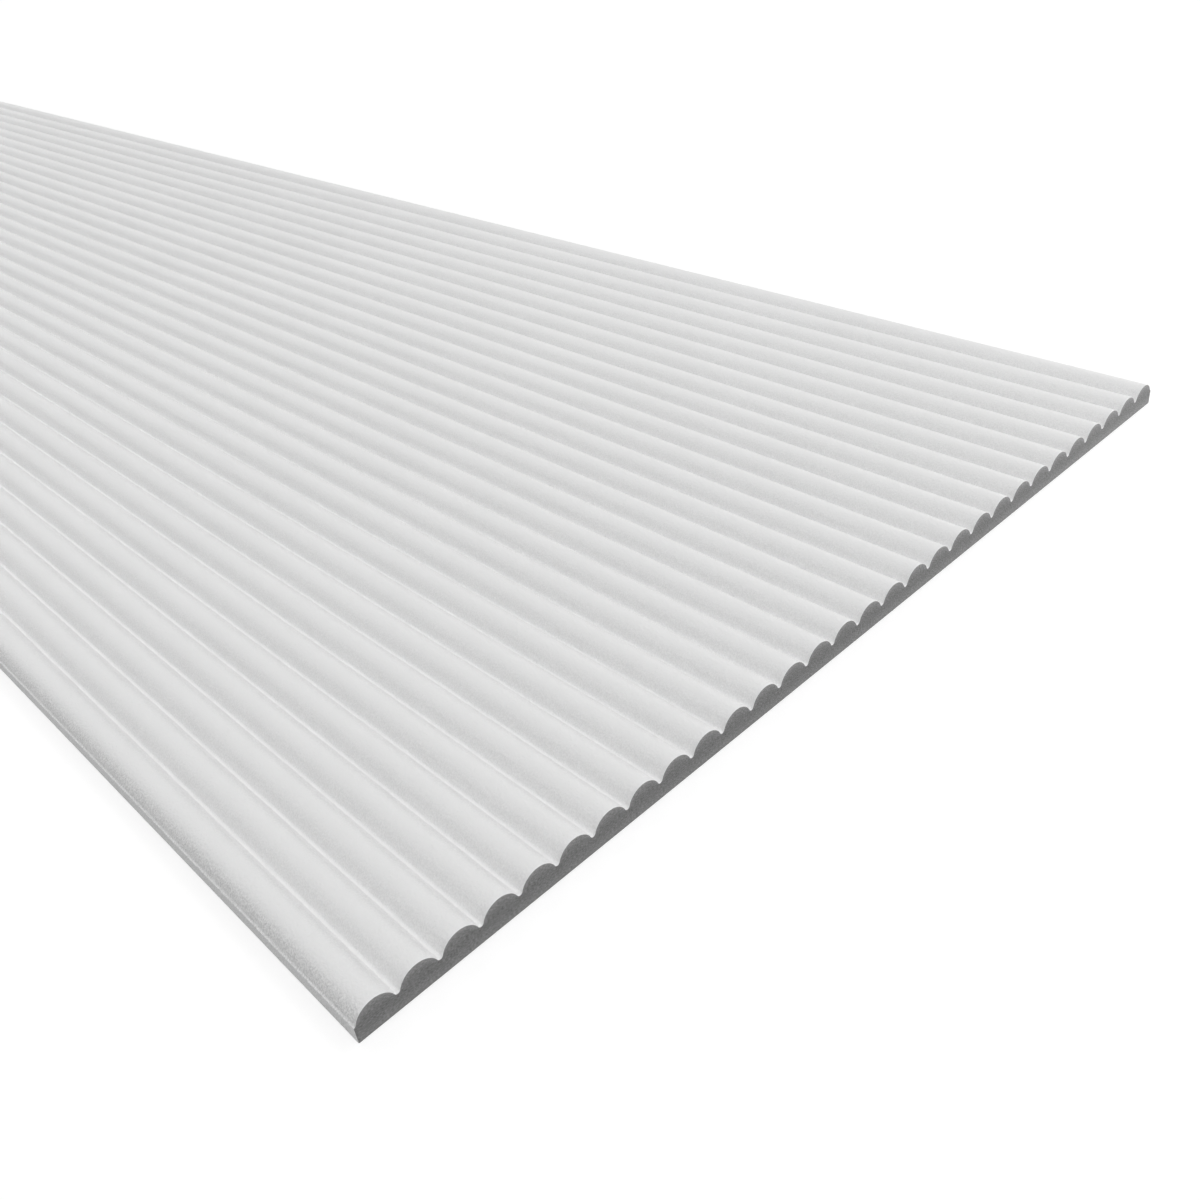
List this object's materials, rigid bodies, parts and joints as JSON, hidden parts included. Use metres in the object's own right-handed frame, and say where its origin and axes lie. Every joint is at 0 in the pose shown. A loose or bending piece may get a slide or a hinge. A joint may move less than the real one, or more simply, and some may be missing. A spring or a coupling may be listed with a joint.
{
  "type": "ribbed wall panel",
  "caption": "Flat wall lining board with half-round ribs side by side along its length and a plain flat back, in a white paint finish.",
  "frame": {"origin": "centre of the flat back, which is the face that the panel lies on", "axes": "+X across the ribs, +Y along the ribs and the panel's length, +Z out of the ribbed face, away from the wall"},
  "size_m": [0.6, 2.4, 0.016],
  "materials": {
    "white_paint": "satin"
  },
  "bodies": {
    "root": {"ribbed_panel": "white_paint"}
  },
  "joints": []
}
